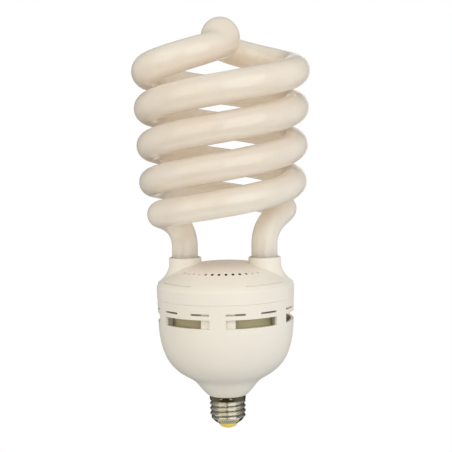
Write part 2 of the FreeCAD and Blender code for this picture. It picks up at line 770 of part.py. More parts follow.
def make_toroid():
    """The small drive transformer: a ferrite ring with three short windings over it."""
    foot = "board_bottom-toroid_lift-toroid_height"
    core = ring("Toroid", "toroid_outer_radius", "toroid_inner_radius", "toroid_height", foot,
                "toroid_x", "toroid_y")
    node(core, "drive_ring_core")
    coils = []
    for i in range(3):
        angle = f"{i}*120"
        sleeve = ring(f"Drive_coil_{i}", "toroid_outer_radius+toroid_wire", "toroid_inner_radius-toroid_wire",
                      "toroid_height+2*toroid_lift", "board_bottom-toroid_height-2*toroid_lift",
                      "toroid_x", "toroid_y", angle, "toroid_coil_angle")
        hollow = ring(f"Drive_core_{i}", "toroid_outer_radius", "toroid_inner_radius", "toroid_height", foot,
                      "toroid_x", "toroid_y")
        coils.append(cut(f"Drive_winding_{i}", sleeve, [hollow]))
    group = doc.addObject("Part::Compound", "Drive_windings")
    group.Links = coils
    node(group, "drive_ring_windings")


def make_transistors():
    """Two power transistors that stand off the board on three leads, tab downwards."""
    top = "board_bottom-transistor_drop"
    tab_foot = f"{top}-transistor_height-transistor_tab_height"
    for place in ("first", "second"):
        name = f"Transistor_{place}"
        moulding = box(f"{name}_body", "transistor_depth", "transistor_width", "transistor_height",
                       z=f"{top}-transistor_height")
        tab = box(f"{name}_tab", "transistor_tab_thickness", "transistor_width",
                  "transistor_height+transistor_tab_height",
                  x="transistor_depth/2+transistor_tab_thickness/2", z=tab_foot)
        leads = []
        for i in (-1, 0, 1):
            leads.append(cylinder(f"{name}_lead_{i + 1}", "lead_radius", "transistor_drop",
                                  y=f"{i}*transistor_pitch", z=top))
        hole = doc.addObject("Part::Cylinder", f"{name}_hole")
        bind(hole, Radius="transistor_hole_radius", Height="4*transistor_depth")
        hole.Placement = FreeCAD.Placement(V(), FreeCAD.Rotation(V(0, 1, 0), 90))
        hole.setExpression("Placement.Base.z", tie(f"{tab_foot}+transistor_tab_height/2"))
        solid = cut(name, fuse(f"{name}_solid", [moulding, tab] + leads), [hole])
        node(carried(f"{name}_placed", solid, "transistor_ring_radius", f"transistor_{place}_angle"),
             f"power_transistor_{place}")


def axial(name, label, x, y, radius, length, reach, lift):
    """A small round body that lies below the board, with a wire from each end bent up to it."""
    body = doc.addObject("Part::Cylinder", f"{name}_body")
    wire = doc.addObject("Part::Cylinder", f"{name}_wire")
    level = f"board_bottom-({lift})"
    for part, part_radius, part_length in ((body, radius, length), (wire, "lead_radius", f"2*({reach})")):
        bind(part, Radius=part_radius, Height=part_length)
        part.Placement = FreeCAD.Placement(V(), FreeCAD.Rotation(V(0, 1, 0), 90))
        part.setExpression("Placement.Base.x", tie(f"{x}-({part_length})/2"))
        part.setExpression("Placement.Base.y", tie(y))
        part.setExpression("Placement.Base.z", tie(level))
    ends = []
    for side in (-1, 1):
        ends.append(cylinder(f"{name}_end_{side + 1}", "lead_radius", lift,
                             f"{x}+{side}*({reach}-lead_radius)", y, level))
    node(fuse(name, [body, wire] + ends), label)


def make_small_pieces():
    for i in range(4):
        axial(f"Diode_{i + 1}", f"rectifier_diode_{i + 1}", "diode_x", f"diode_first_y-{i}*diode_pitch",
              "diode_radius", "diode_length", "diode_reach", "diode_lift")
    axial("Fuse", "fuse_resistor", "fuse_ring_radius*cos(fuse_angle)", "fuse_ring_radius*sin(fuse_angle)",
          "fuse_radius", "fuse_length", "fuse_reach", "diode_lift")
    disc = doc.addObject("Part::Cylinder", "Thermistor_disc")
    bind(disc, Radius="thermistor_radius", Height="thermistor_thickness")
    disc.Placement = FreeCAD.Placement(V(), FreeCAD.Rotation(V(0, 1, 0), 90))
    disc.setExpression("Placement.Base.x", tie("-thermistor_thickness/2"))
    disc.setExpression("Placement.Base.z", tie("board_bottom-thermistor_drop-thermistor_radius"))
    leads = []
    for side in (-1, 1):
        leads.append(upright_lead(f"Thermistor_lead_{side + 1}", 0, f"{side}*thermistor_radius/2",
                                  "thermistor_drop+thermistor_radius"))
    solid = fuse("Thermistor", [disc] + leads)
    node(carried("Thermistor_placed", solid, "thermistor_ring_radius", "thermistor_angle"),
         "start_thermistor")


def make_wiring():
    """Wire-wrap posts on the board, the tube's electrode wires, and the two wires to the cap."""
    board_top = "board_bottom+board_thickness"
    count = 0
    for x_side in (-1, 1):
        for y_side in (-1, 1):
            count += 1
            x, y = f"{x_side}*leg_offset", f"{y_side}*electrode_spacing/2"
            node(cylinder(f"Post_{count}", "post_radius", "post_length", x, y, board_top),
                 f"wrap_post_{count}")
            node(cylinder(f"Electrode_{count}", "electrode_wire_radius",
                          f"leg_bottom-({board_top})-post_length", x, y, f"{board_top}+post_length"),
                 f"electrode_wire_{count}")
    head_top = "shell_bottom+shell_wall+insulator_head_height"
    node(cylinder("Contact_wire", "cap_wire_radius", f"board_bottom-({head_top})", z=head_top),
         "contact_wire")

    wire = size("cap_wire_radius")
    bend = size("shell_wire_bend")
    column = size("shell_wire_radius")
    shell_inside = size("shell_radius") - size("shell_wall") - size("cap_clearance")
    low = size("shell_collar_bottom") - bend - wire
    route = Part.Wire([
        Part.LineSegment(V(0, -column, size("board_bottom")), V(0, -column, low + bend)).toShape(),
        Part.Arc(V(0, -column, low + bend),
                 V(0, -column - bend * (1 - math.sqrt(0.5)), low + bend * (1 - math.sqrt(0.5))),
                 V(0, -column - bend, low)).toShape(),
        Part.LineSegment(V(0, -column - bend, low), V(0, -shell_inside, low)).toShape()])
    section = Part.Wire([Part.Circle(V(0, -column, size("board_bottom")), UP, wire).toShape()])
    node(feature("Shell_wire", route.makePipeShell([section], True, False)), "shell_wire")


make_spiral_tube()
make_screw_cap()
make_housing()
make_holder()
make_board()
make_capacitors()
make_choke()
make_filter_choke()
make_toroid()
make_transistors()
make_small_pieces()
make_wiring()
doc.recompute()

for obj in doc.Objects:
    if "Invalid" in obj.State or "Error" in obj.State:
        raise RuntimeError(f"{obj.Label} did not build: {obj.State}")
for obj in nodes:
    if obj.Shape.isNull() or not obj.Shape.isValid():
        raise RuntimeError(f"{obj.Label} has no valid shape")

os.makedirs("parts", exist_ok=True)
for obj in nodes:
    obj.Shape.exportStep(f"parts/{obj.Label}.step")
    print(f"{obj.Label}: {len(obj.Shape.Solids)} solid, {obj.Shape.Volume:.1f} cubic mm")
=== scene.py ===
# %% [markdown]
# # A spiral energy saving bulb
# A large fluorescent bulb has three parts that the eye separates at once: a coated glass tube wound as a
# double spiral, an ivory plastic housing with vent windows, and a metal screw cap with a coloured foot. The
# solids come from CAD and stay where they are. This lesson gives them finishes, and remakes the pieces whose
# look depends on fine shape: the tube with its taper, the cap with its rolled thread, and the foot.

# %% Load the frame
import math

import bpy
import numpy as np
from mathutils import Matrix, Vector


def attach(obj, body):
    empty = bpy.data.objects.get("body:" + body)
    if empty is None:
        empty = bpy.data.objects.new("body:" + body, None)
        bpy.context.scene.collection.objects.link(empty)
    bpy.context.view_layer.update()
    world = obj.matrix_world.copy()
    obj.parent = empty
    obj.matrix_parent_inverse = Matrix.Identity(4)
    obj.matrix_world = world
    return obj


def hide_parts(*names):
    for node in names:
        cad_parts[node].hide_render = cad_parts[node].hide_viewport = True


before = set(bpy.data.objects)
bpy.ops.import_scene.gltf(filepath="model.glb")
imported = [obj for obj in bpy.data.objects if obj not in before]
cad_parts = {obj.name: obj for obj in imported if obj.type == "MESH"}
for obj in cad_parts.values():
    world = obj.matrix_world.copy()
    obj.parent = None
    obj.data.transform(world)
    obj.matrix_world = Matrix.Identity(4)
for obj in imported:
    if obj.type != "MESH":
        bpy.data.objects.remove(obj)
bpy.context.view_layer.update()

MM = 0.001

# %% [markdown]
# ## Camera
# The picture is taken with a long lens from just above the middle of the bulb. A camera can be aimed with a
# constraint, but a fitted view also has a small roll, so its three axes are worked out here and set as a
# matrix. The shift is the small offset between the middle of the picture and the line of sight.

# %% Camera
VIEW_AZIMUTH = math.radians(7.0)
VIEW_ELEVATION = math.radians(4.87)
VIEW_ROLL = math.radians(-1.24)
VIEW_DISTANCE = 932.7 * MM
VIEW_TARGET = Vector((0, 0, 150 * MM))
SENSOR_WIDTH, FOCAL_LENGTH = 36, 102.43
SHIFT_ACROSS, SHIFT_UP = 0.0044, -0.0069

back = Vector((math.sin(VIEW_AZIMUTH) * math.cos(VIEW_ELEVATION),
               -math.cos(VIEW_AZIMUTH) * math.cos(VIEW_ELEVATION),
               math.sin(VIEW_ELEVATION)))
level = (-back).cross(Vector((0, 0, 1))).normalized()
upright = level.cross(-back)
right = level * math.cos(VIEW_ROLL) + upright * math.sin(VIEW_ROLL)
up = upright * math.cos(VIEW_ROLL) - level * math.sin(VIEW_ROLL)

camera = bpy.data.objects.new("camera", bpy.data.cameras.new("camera"))
bpy.context.collection.objects.link(camera)
turned = Matrix((right, up, back)).transposed().to_4x4()
camera.matrix_world = Matrix.Translation(VIEW_TARGET + back * VIEW_DISTANCE) @ turned
camera.data.sensor_width = SENSOR_WIDTH
camera.data.lens = FOCAL_LENGTH
camera.data.shift_x = SHIFT_ACROSS
camera.data.shift_y = SHIFT_UP
bpy.context.scene.camera = camera
bpy.context.scene.view_settings.view_transform = "Standard"
print("camera", tuple(round(c, 3) for c in camera.location))

# %% [markdown]
# ## Mesh helpers
# Every piece made here is a skin over rings of points: a tube is rings along a line, and a turned piece is
# rings along its axis. One function joins such rings with quads and closes the two ends. Another puts the
# piece in place of its CAD node, which stays in the frame but is hidden.

# %% Mesh helpers
def ring_turns(count):
    """Angles evenly round a circle."""
    return np.linspace(0, 2 * math.pi, count, endpoint=False)


def skin(name, rings, close_ends=True):
    """A smooth mesh over rings of points, an array of ring by point by coordinate."""
    count, around = rings.shape[:2]
    row = np.arange(around)
    following = (row + 1) % around
    faces = []
    for i in range(count - 1):
        low, high = i * around, (i + 1) * around
        faces += np.stack([low + row, low + following, high + following, high + row], axis=1).tolist()
    if close_ends:
        faces.append(row[::-1].tolist())
        faces.append(((count - 1) * around + row).tolist())
    mesh = bpy.data.meshes.new(name)
    mesh.from_pydata(rings.reshape(-1, 3).tolist(), [], faces)
    mesh.shade_smooth()
    piece = bpy.data.objects.new(name, mesh)
    bpy.context.collection.objects.link(piece)
    return piece


def dress(piece, node, material):
    """Puts a new piece in place of a CAD node, with a finish."""
    piece.data.materials.append(material)
    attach(piece, "root")
    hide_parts(node)
    print(f"{piece.name}: {len(piece.data.polygons)} faces in place of {node}")


# %% [markdown]
# ## Material helpers
# A finish is a Principled shader with a few nodes in front of it. What is the same all over the surface is
# set on the shader's own sockets. What varies, such as a faint cloudiness, comes from noise in object space,
# so it stays with the piece from every side. Colours are written as they look on screen, and turned into the
# linear values that the shader works with.

# %% Material helpers
DRIFT_FROM, DRIFT_TO = 0.35, 0.65


def linear(red, green, blue):
    """A colour written as on screen, from 0 to 255, as the shader takes it."""
    shares = (red / 255, green / 255, blue / 255)
    return tuple(s / 12.92 if s <= 0.04045 else ((s + 0.055) / 1.055) ** 2.4 for s in shares) + (1.0,)


def finish_for(name, roughness=0.5, metallic=0.0, coat=0.0, coat_roughness=0.1):
    """A material with its shader's plain values set."""
    material = bpy.data.materials.new(name)
    material.use_nodes = True
    shader = material.node_tree.nodes["Principled BSDF"]
    shader.inputs["Roughness"].default_value = roughness
    shader.inputs["Metallic"].default_value = metallic
    shader.inputs["Coat Weight"].default_value = coat
    shader.inputs["Coat Roughness"].default_value = coat_roughness
    return material, shader


def noise(material, scale, detail, stretch=(1, 1, 1)):
    """Noise in object space; the scale counts features in a metre."""
    nodes, links = material.node_tree.nodes, material.node_tree.links
    place = nodes.new("ShaderNodeTexCoord")
    mapping = nodes.new("ShaderNodeMapping")
    mapping.inputs["Scale"].default_value = stretch
    texture = nodes.new("ShaderNodeTexNoise")
    texture.inputs["Scale"].default_value = scale
    texture.inputs["Detail"].default_value = detail
    links.new(place.outputs["Object"], mapping.inputs["Vector"])
    links.new(mapping.outputs["Vector"], texture.inputs["Vector"])
    return texture.outputs["Fac"]


def drift(material, source, first, second):
    """A colour that wanders between two tones as a value does."""
    node = material.node_tree.nodes.new("ShaderNodeValToRGB")
    low, high = node.color_ramp.elements
    low.position, high.position = DRIFT_FROM, DRIFT_TO
    low.color, high.color = first, second
    material.node_tree.links.new(source, node.inputs["Fac"])
    return node.outputs["Color"]


def tint(material, shader, colour):
    """Puts a colour that varies on the shader."""
    material.node_tree.links.new(colour, shader.inputs["Base Color"])


def grain(material, shader, source, strength, depth):
    """A fine relief from a value, its depth in metres."""
    bump = material.node_tree.nodes.new("ShaderNodeBump")
    bump.inputs["Strength"].default_value = strength
    bump.inputs["Distance"].default_value = depth
    material.node_tree.links.new(source, bump.inputs["Height"])
    material.node_tree.links.new(bump.outputs["Normal"], shader.inputs["Normal"])
    return bump.outputs["Normal"]


print(f"middle grey on screen is {linear(128, 128, 128)[0]:.3f} to the shader")

# %% [markdown]
# ## Coated glass
# The tube is clear glass with a white powder on its inside, so it looks like milk behind a thin gloss. A true
# glass wall with a powder layer behind it would need two skins and many light bounces. A creamy base in which
# light spreads a few centimetres, under a thin clear coat, looks the same at this distance, and light reaches
# the gaps between the turns as it does through the real tube. Soft clouds in the tone stand for the uneven
# powder, and a slow wave in the surface breaks the lamps' reflections as drawn glass does.

# %% Coated glass
POWDER_SHADE, POWDER_LIGHT = linear(235, 214, 193), linear(241, 221, 201)
CLOUD_SCALE, WAVE_SCALE = 38, 46
WAVE_STRENGTH, WAVE_DEPTH = 0.12, 1.2 * MM
SCATTER_DEPTH, SCATTER_SHARES = 60 * MM, (1.0, 0.92, 0.82)

tube_glass, shader = finish_for("coated_glass", 0.45, coat=0.6, coat_roughness=0.02)
clouds = drift(tube_glass, noise(tube_glass, CLOUD_SCALE, detail=4), POWDER_SHADE, POWDER_LIGHT)
tint(tube_glass, shader, clouds)
wave = grain(tube_glass, shader, noise(tube_glass, WAVE_SCALE, detail=1), WAVE_STRENGTH, WAVE_DEPTH)
tube_glass.node_tree.links.new(wave, shader.inputs["Coat Normal"])
shader.inputs["Coat IOR"].default_value = 2.0
shader.inputs["Specular IOR Level"].default_value = 0.15
shader.inputs["Subsurface Weight"].default_value = 1.0
shader.inputs["Subsurface Radius"].default_value = SCATTER_SHARES
shader.inputs["Subsurface Scale"].default_value = SCATTER_DEPTH
print(f"{tube_glass.name}: light spreads {SCATTER_DEPTH / MM:.0f} mm in it")

# %% [markdown]
# ## Spiral tube
# One glass tube rises from the left leg, winds up, crosses the axis at the top in an S and winds down to the
# other leg. A curve with a bevel could draw it, but the tube is fatter at the top than at the legs, its
# middle turns hang a little low, and it has a blown knob at its apex. So it is a skin of rings, worked out in
# millimetres from the sizes below. A lead is what the winding drops in one turn, and a girth is the radius of
# the tube itself.

# %% Spiral tube sizes
COIL_TOP_RADIUS, COIL_BOTTOM_RADIUS = 53.1, 49.9
COIL_TOP_HEIGHT = 261.95
COIL_TOP_LEAD, COIL_BOTTOM_LEAD = 52.43, 50.52
COIL_START = math.radians(204.5)
COIL_TURN = math.radians(705.7)
APEX_HEIGHT = 279.25
LEG_OFFSET, LEG_BEND_HEIGHT, LEG_BOTTOM = 29.1, 133.2, 112.0
BEND_START_PULL, BEND_END_PULL = 18.4, 24.2
APEX_GIRTH, TOP_GIRTH, BOTTOM_GIRTH, LEG_GIRTH, FOOT_GIRTH = 10.1, 11.2, 9.7, 9.47, 10.0
BACK_PINCH, BACK_DEPTH = 0.6, 30.0
SAG, SAG_HEIGHT, SAG_SPREAD = 1.7, 184.0, 34.0
SEAL_TOP, SEAL_DEPTH = 125.8, 1.6
BRIDGE_STEPS, COIL_STEPS, BEND_STEPS, LEG_STEPS = 90, 340, 34, 40
print(f"coil: two arms of {COIL_TURN / (2 * math.pi):.2f} turns, {2 * COIL_TOP_RADIUS} mm across at the top")

# %% [markdown]
# ## Line of the tube
# The centre line has four stretches: a bridge from the apex, the coil, a bend, and a straight leg. A spline
# through a few points would leave the true winding between them, so each stretch has its own formula, and
# each point carries its own radius. One arm is worked out, and the other is the same arm turned by half a
# turn.

# %% Line of the tube
def between(first, second, share):
    """The value that lies a share of the way from the first to the second."""
    return first + (second - first) * share


def eased(share):
    """A share from 0 to 1 that starts and ends softly."""
    return share ** 2 * (3 - 2 * share)


def bridge_points(count):
    """From the apex, half a circle in plan, down to the start of the coil: x, y, z and radius."""
    share = np.linspace(0, 1, count, endpoint=False)
    half = COIL_TOP_RADIUS / 2
    angle = COIL_START + math.pi * (1 - share)
    end_fall = -COIL_TOP_LEAD / 4  # the coil's slope, over half a circle of half its radius
    height = between(APEX_HEIGHT, COIL_TOP_HEIGHT, eased(share)) + end_fall * (share ** 3 - share ** 2)
    x = half * (math.cos(COIL_START) + np.cos(angle))
    y = half * (math.sin(COIL_START) + np.sin(angle))
    return np.stack([x, y, height, between(APEX_GIRTH, TOP_GIRTH, share)], axis=1)


def coil_points(count):
    """The winding, which narrows on its way down and hangs a little low in its middle turns."""
    share = np.linspace(0, 1, count)
    angle = COIL_START - COIL_TURN * share
    radius = between(COIL_TOP_RADIUS, COIL_BOTTOM_RADIUS, share)
    lead = COIL_TOP_LEAD * share + (COIL_BOTTOM_LEAD - COIL_TOP_LEAD) * share ** 2 / 2
    height = COIL_TOP_HEIGHT - COIL_TURN / (2 * math.pi) * lead
    height -= SAG * np.exp(-((height - SAG_HEIGHT) / SAG_SPREAD) ** 2)
    girth = between(TOP_GIRTH, BOTTOM_GIRTH, share)
    return np.stack([radius * np.cos(angle), radius * np.sin(angle), height, girth], axis=1)


def bend_points(start, heading, count):
    """The bend from the end of the coil down into the leg."""
    share = np.linspace(0, 1, count + 1)[1:, None]
    end = np.array([-LEG_OFFSET, 0, LEG_BEND_HEIGHT])
    pull_start = start + heading * BEND_START_PULL
    pull_end = end + np.array([0, 0, BEND_END_PULL])
    point = (start * (1 - share) ** 3 + pull_start * 3 * share * (1 - share) ** 2
             + pull_end * 3 * share ** 2 * (1 - share) + end * share ** 3)
    return np.hstack([point, between(BOTTOM_GIRTH, LEG_GIRTH, share)])


def leg_points(count):
    """The straight leg, a little wider where it is sealed into its collar."""
    height = np.linspace(LEG_BEND_HEIGHT, LEG_BOTTOM, count + 1)[1:]
    seal = np.clip((SEAL_TOP - height) / SEAL_DEPTH, 0, 1)
    girth = between(LEG_GIRTH, FOOT_GIRTH, eased(seal))
    return np.stack([np.full(count, -LEG_OFFSET), np.zeros(count), height, girth], axis=1)


coil = coil_points(COIL_STEPS)
end_angle = COIL_START - COIL_TURN
end_slope = COIL_BOTTOM_LEAD / (2 * math.pi * COIL_BOTTOM_RADIUS)
heading = np.array([math.sin(end_angle), -math.cos(end_angle), -end_slope])
heading /= np.linalg.norm(heading)
bend = bend_points(coil[-1, :3], heading, BEND_STEPS)
arm = np.vstack([bridge_points(BRIDGE_STEPS), coil, bend, leg_points(LEG_STEPS)])
other_arm = arm[1:] * np.array([-1, -1, 1, 1])
tube_line = np.vstack([arm[::-1], other_arm])
tube_line[:, 3] -= BACK_PINCH * np.clip(tube_line[:, 1] / BACK_DEPTH, 0, 1)
steps = np.linalg.norm(np.diff(tube_line[:, :3], axis=0), axis=1)
print(f"tube line: {len(tube_line)} points, {steps.sum():.0f} mm")

# %% [markdown]
# ## Rings and the knob
# Each ring is turned only as far as the line itself turns, so the skin has no twist. The knob at the apex is
# a ball blown out of the soft glass. A boolean union would leave a hard seam and ragged faces, so near the
# apex each ray walks outwards through the depth field of tube and ball, joined with a rounded valley, to the
# last point inside.

# %% Tube rings
TUBE_SIDES = 44
KNOB_CENTRE = np.array([0.9, -8.0, 284.1])
KNOB_RADIUS, KNOB_BLEND = 13.5, 8.0
WALK_LENGTH, WALK_STEPS = 30, 600
walk = np.linspace(0, WALK_LENGTH, WALK_STEPS)[:, None]


def knob_reach(centre, rays, girth):
    """How far each ray runs to the outside of the tube and the knob together."""
    ball = np.linalg.norm(centre + rays * walk[..., None] - KNOB_CENTRE, axis=2) - KNOB_RADIUS
    wall = walk - girth
    near = np.maximum(KNOB_BLEND - abs(ball - wall), 0) / KNOB_BLEND
    depth = np.minimum(ball, wall) - near ** 2 * KNOB_BLEND / 4
    last = WALK_STEPS - 1 - np.argmax((depth < 0)[::-1], axis=0)
    ray = np.arange(len(rays))
    short, beyond = depth[last, ray], depth[last + 1, ray]
    return walk[last, 0] + (walk[1, 0] - walk[0, 0]) * short / (short - beyond)


def tube_rings(line):
    """Rings square to the line, with the knob blown out where they come near it."""
    points, girths = line[:, :3], line[:, 3]
    ahead = np.gradient(points, axis=0)
    ahead /= np.linalg.norm(ahead, axis=1)[:, None]
    side = np.array([1.0, 0, 0])
    turns = ring_turns(TUBE_SIDES)
    rings = []
    for point, direction, girth in zip(points, ahead, girths):
        side = side - direction * (side @ direction)
        side /= np.linalg.norm(side)
        third = np.cross(direction, side)
        rays = np.cos(turns)[:, None] * side + np.sin(turns)[:, None] * third
        reach = np.full(TUBE_SIDES, girth)
        if np.linalg.norm(point - KNOB_CENTRE) < KNOB_RADIUS + girth + KNOB_BLEND:
            reach = knob_reach(point, rays, girth)
        rings.append(point + rays * reach[:, None])
    return np.array(rings) * MM


spiral = skin("spiral_glass_tube", tube_rings(tube_line))
dress(spiral, "spiral_tube", tube_glass)

# %% [markdown]
# ## Sums with nodes
# Some colours change at a certain place: the painted shade inside a vent and along the cap, and the white at
# the rim of the floor. An image painted over the surface could hold such a mask, but a few math nodes on the
# place itself stay sharp at any distance and follow the sizes. These helpers write such sums in one line
# each.

# %% Sums with nodes
def place_in(tree, system):
    """The X, Y and Z of a place, in one of the coordinate systems that Blender offers."""
    place = tree.nodes.new("ShaderNodeTexCoord")
    split = tree.nodes.new("ShaderNodeSeparateXYZ")
    tree.links.new(place.outputs[system], split.inputs["Vector"])
    return split.outputs["X"], split.outputs["Y"], split.outputs["Z"]


def figure(tree, operation, *values):
    """A value worked out by a math node from sockets and plain numbers."""
    node = tree.nodes.new("ShaderNodeMath")
    node.operation = operation
    for socket, value in zip(node.inputs, values):
        if isinstance(value, (int, float)):
            socket.default_value = value
        else:
            tree.links.new(value, socket)
    return node.outputs["Value"]


def product(tree, first, *others):
    """Several values multiplied."""
    for other in others:
        first = figure(tree, "MULTIPLY", first, other)
    return first


def distance(tree, first, second):
    """The length of a step with these two sides."""
    squares = figure(tree, "ADD", figure(tree, "POWER", first, 2), figure(tree, "POWER", second, 2))
    return figure(tree, "SQRT", squares)


def fade(tree, source, edge, ends):
    """A value that goes over softly from one end to the other between two edges."""
    node = tree.nodes.new("ShaderNodeMapRange")
    node.interpolation_type = "SMOOTHSTEP"
    for socket, number in zip(("From Min", "From Max", "To Min", "To Max"), edge + ends):
        node.inputs[socket].default_value = number
    tree.links.new(source, node.inputs["Value"])
    return node.outputs["Result"]


def mixed(tree, share, first, second):
    """A colour that goes over into a plain second one where the share grows to 1."""
    node = tree.nodes.new("ShaderNodeMix")
    node.data_type = "RGBA"
    node.inputs["B"].default_value = second
    tree.links.new(share, node.inputs["Factor"])
    tree.links.new(first, node.inputs["A"])
    return node.outputs["Result"]


# %% [markdown]
# ## Housing plastic
# The bowl and its cover are moulded in one ivory plastic, satin rather than glossy. The CAD solids already
# have the windows, slots and collars, so they keep their shape and take a finish: a tone that drifts
# slowly and a fine moulded grain. The small vents of the cover look black, because no light comes out of the
# housing, so their walls get painted shade: a dark colour, strongest a little to one side of the middle of
# the row and weaker towards its ends, where light from the sides falls in.

# %% Housing plastic
# The third colour is painted shade for the walls of the small vents.
IVORY_SHADE, IVORY_LIGHT, PAINTED_VENT_SHADE = linear(239, 233, 219), linear(244, 238, 226), linear(24, 20, 16)
IVORY_CLOUDS, IVORY_GRAIN = 14, 2600
GRAIN_DEPTH = 0.1 * MM
VENT_RING, VENT_RADIUS = 35.0 * MM, 1.04 * MM
VENT_PITCH, VENT_REACH = math.radians(8.0), 6.5
VENT_FOOT, VENT_DARKEST = 100 * MM, 1.0
VENT_FADE, VENT_DARK_SHARES = (2.2, 4.0), (1.0, 0.1)


def vent_shade_share(tree):
    """How much painted shade the walls of the small round vents of the cover get, front and back: up to 1
    inside them and 0 elsewhere.
    """
    x, y, z = place_in(tree, "Object")
    turn = figure(tree, "ARCTAN2", x, figure(tree, "ABSOLUTE", y))
    count = figure(tree, "DIVIDE", turn, VENT_PITCH)
    from_nearest = figure(tree, "SUBTRACT", count, figure(tree, "ROUND", count))
    along = figure(tree, "MULTIPLY", from_nearest, VENT_PITCH * VENT_RING)
    across = figure(tree, "SUBTRACT", distance(tree, x, y), VENT_RING)
    inside = figure(tree, "LESS_THAN", distance(tree, along, across), VENT_RADIUS)
    in_row = figure(tree, "LESS_THAN", figure(tree, "ABSOLUTE", count), VENT_REACH)
    in_cover = figure(tree, "GREATER_THAN", z, VENT_FOOT)
    aside = figure(tree, "ABSOLUTE", figure(tree, "SUBTRACT", count, VENT_DARKEST))
    return product(tree, inside, in_row, in_cover, fade(tree, aside, VENT_FADE, VENT_DARK_SHARES))


def finish_nodes(material, nodes):
    """Gives a finish to CAD nodes, which keep their shape."""
    for node in nodes:
        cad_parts[node].material_slots[0].material = material
    print(f"{material.name} on {len(nodes)}: {', '.join(nodes)}")


ivory, shader = finish_for("ivory_plastic", 0.42)
clouds = drift(ivory, noise(ivory, IVORY_CLOUDS, detail=2), IVORY_SHADE, IVORY_LIGHT)
# Painted shade: a dark colour is mixed into the base colour on the vent walls.
tint(ivory, shader, mixed(ivory.node_tree, vent_shade_share(ivory.node_tree), clouds, PAINTED_VENT_SHADE))
grain(ivory, shader, noise(ivory, IVORY_GRAIN, detail=2), strength=0.05, depth=GRAIN_DEPTH)
finish_nodes(ivory, ["ballast_housing", "tube_holder"])

# %% [markdown]
# ## Cap metal
# The shell is rolled from thin plated sheet, so it is bright on its crests and has faint lines round it from
# the rolling tool. Noise pressed flat along the axis gives those lines, as a roughness that wanders. The
# plain collar, the roots of the thread and the taper are given a darker colour, which is painted shade: it
# darkens what they mirror. A second material could cover them, but a share of the darker colour, by height
# and by distance from the axis, has no hard edge.

# %% Cap metal
PLATED_SHADE, PLATED_LIGHT = linear(238, 233, 214), linear(250, 246, 232)
# This darker colour is painted shade for the collar, the roots of the thread and the taper.
PAINTED_CAP_SHADE = linear(150, 145, 112)
ROLLED_SCALE, ROLLED_STRETCH = 60, (1, 1, 30)
ROLLED_LOW, ROLLED_HIGH = 0.10, 0.22
PLATED_CLOUDS = 220
COLLAR_EDGE, COLLAR_SHARES = (19.9 * MM, 20.7 * MM), (0.0, 1.0)
ROOT_EDGE, ROOT_SHARES = (12.1 * MM, 12.5 * MM), (0.85, 0.0)


def roughen(material, shader, source, low, high):
    """Roughness that wanders between two values."""
    wander = material.node_tree.nodes.new("ShaderNodeMapRange")
    wander.inputs["To Min"].default_value = low
    wander.inputs["To Max"].default_value = high
    material.node_tree.links.new(source, wander.inputs["Value"])
    material.node_tree.links.new(wander.outputs["Result"], shader.inputs["Roughness"])


plated, shader = finish_for("plated_cap", metallic=1.0)
tree = plated.node_tree
x, y, z = place_in(tree, "Object")
collar = fade(tree, z, COLLAR_EDGE, COLLAR_SHARES)
root = fade(tree, distance(tree, x, y), ROOT_EDGE, ROOT_SHARES)
clouds = drift(plated, noise(plated, PLATED_CLOUDS, detail=3), PLATED_SHADE, PLATED_LIGHT)
# Painted shade: the darker colour is mixed in on the collar by height, and in the roots and on the taper by
# distance from the axis.
tint(plated, shader, mixed(tree, figure(tree, "MAXIMUM", collar, root), clouds, PAINTED_CAP_SHADE))
rolled = noise(plated, ROLLED_SCALE, detail=4, stretch=ROLLED_STRETCH)
roughen(plated, shader, rolled, ROLLED_LOW, ROLLED_HIGH)
print(f"{plated.name}: dull from {COLLAR_EDGE[1] / MM:.1f} mm up and in the roots of the thread")

# %% [markdown]
# ## Threaded shell
# The thread is rounded and right-handed. A screw modifier could wind it, but the thread has to fade into the
# smooth collar above and the taper below. So the shell is a skin of rings whose radius follows the winding,
# with an inner skin one sheet thickness inside, and a ring of small punch marks is pressed into the collar.

# %% Threaded shell
SHELL_WALL = 0.4
SHELL_HEIGHTS = (3.7, 4.0, 5.2, 6.3, 7.4, 8.6, 9.8, 19.8, 20.6, 23.9, 24.2)
SHELL_RADII = (8.4, 8.9, 10.4, 11.3, 12.1, 12.5, 12.62, 12.62, 13.2, 13.3, 13.2)
SHELL_SIDES, TAPER_RINGS, THREAD_RINGS = 144, 30, 130
THREAD_PITCH, THREAD_CREST, THREAD_ROOT = 3.629, 13.15, 12.0
THREAD_FOOT, THREAD_TOP = 4.6, 20.6
FOOT_FADE, TOP_FADE = 5.0, 1.4
CREST_AT_FRONT, FRONT = 18.6, math.radians(-83)
PUNCH_COUNT, PUNCH_START = 11, math.radians(-105.7)
PUNCH_HEIGHT, PUNCH_RADIUS, PUNCH_DEPTH = 23.4, 0.6, 0.45


def on_axis(radius, turn, height):
    """Points round the bulb's axis, at a radius, an angle and a height."""
    return np.stack(np.broadcast_arrays(radius * np.cos(turn), radius * np.sin(turn), height), axis=-1)


def threaded_radius(turn, height):
    """The shell's outer radius: its profile, with the thread that swells on it and fades at both ends."""
    above_foot = np.clip((height - THREAD_FOOT) / FOOT_FADE, 0, 1)
    below_top = np.clip((THREAD_TOP - height) / TOP_FADE, 0, 1)
    wound = (height - CREST_AT_FRONT) / THREAD_PITCH - (turn - FRONT) / (2 * math.pi)
    ridge = np.cos(2 * math.pi * wound) * (THREAD_CREST - THREAD_ROOT) / 2
    return np.interp(height, SHELL_HEIGHTS, SHELL_RADII) + above_foot * below_top * ridge


def punch_marks(turn, height):
    """How deep the ring of punch marks is at a place on the shell."""
    depth = np.zeros_like(height)
    for i in range(PUNCH_COUNT):
        aside = (turn - PUNCH_START - i * 2 * math.pi / PUNCH_COUNT + math.pi) % (2 * math.pi) - math.pi
        away = (aside * THREAD_CREST) ** 2 + (height - PUNCH_HEIGHT) ** 2
        depth += PUNCH_DEPTH * np.exp(-away / PUNCH_RADIUS ** 2)
    return depth


